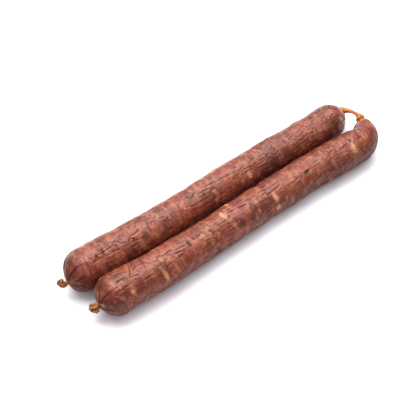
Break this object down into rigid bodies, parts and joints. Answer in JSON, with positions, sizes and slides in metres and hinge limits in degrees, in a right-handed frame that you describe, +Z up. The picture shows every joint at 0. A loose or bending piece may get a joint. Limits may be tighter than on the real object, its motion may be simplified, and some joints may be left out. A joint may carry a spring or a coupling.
{
  "type": "knackwurst pair",
  "caption": "Linked pair of dried, smoked sausages lying side by side, tied at one end and joined by a strand of casing at the other.",
  "frame": {"origin": "under the middle of the pair's box, on the surface that the pair rests on", "axes": "+X runs along the sausages from their tied ends to their linked ends, +Y runs from the front sausage to the rear one, +Z is up"},
  "size_m": [0.2414, 0.0568, 0.0263],
  "materials": {
    "sausage_skin": "wrinkled, smoked, slightly greasy satin",
    "bare_casing": "dried, amber, slightly translucent satin"
  },
  "bodies": {
    "root": {"front_sausage": "sausage_skin", "rear_sausage": "sausage_skin", "front_casing_knot": "bare_casing", "rear_casing_knot": "bare_casing", "casing_link": "bare_casing"}
  },
  "joints": []
}
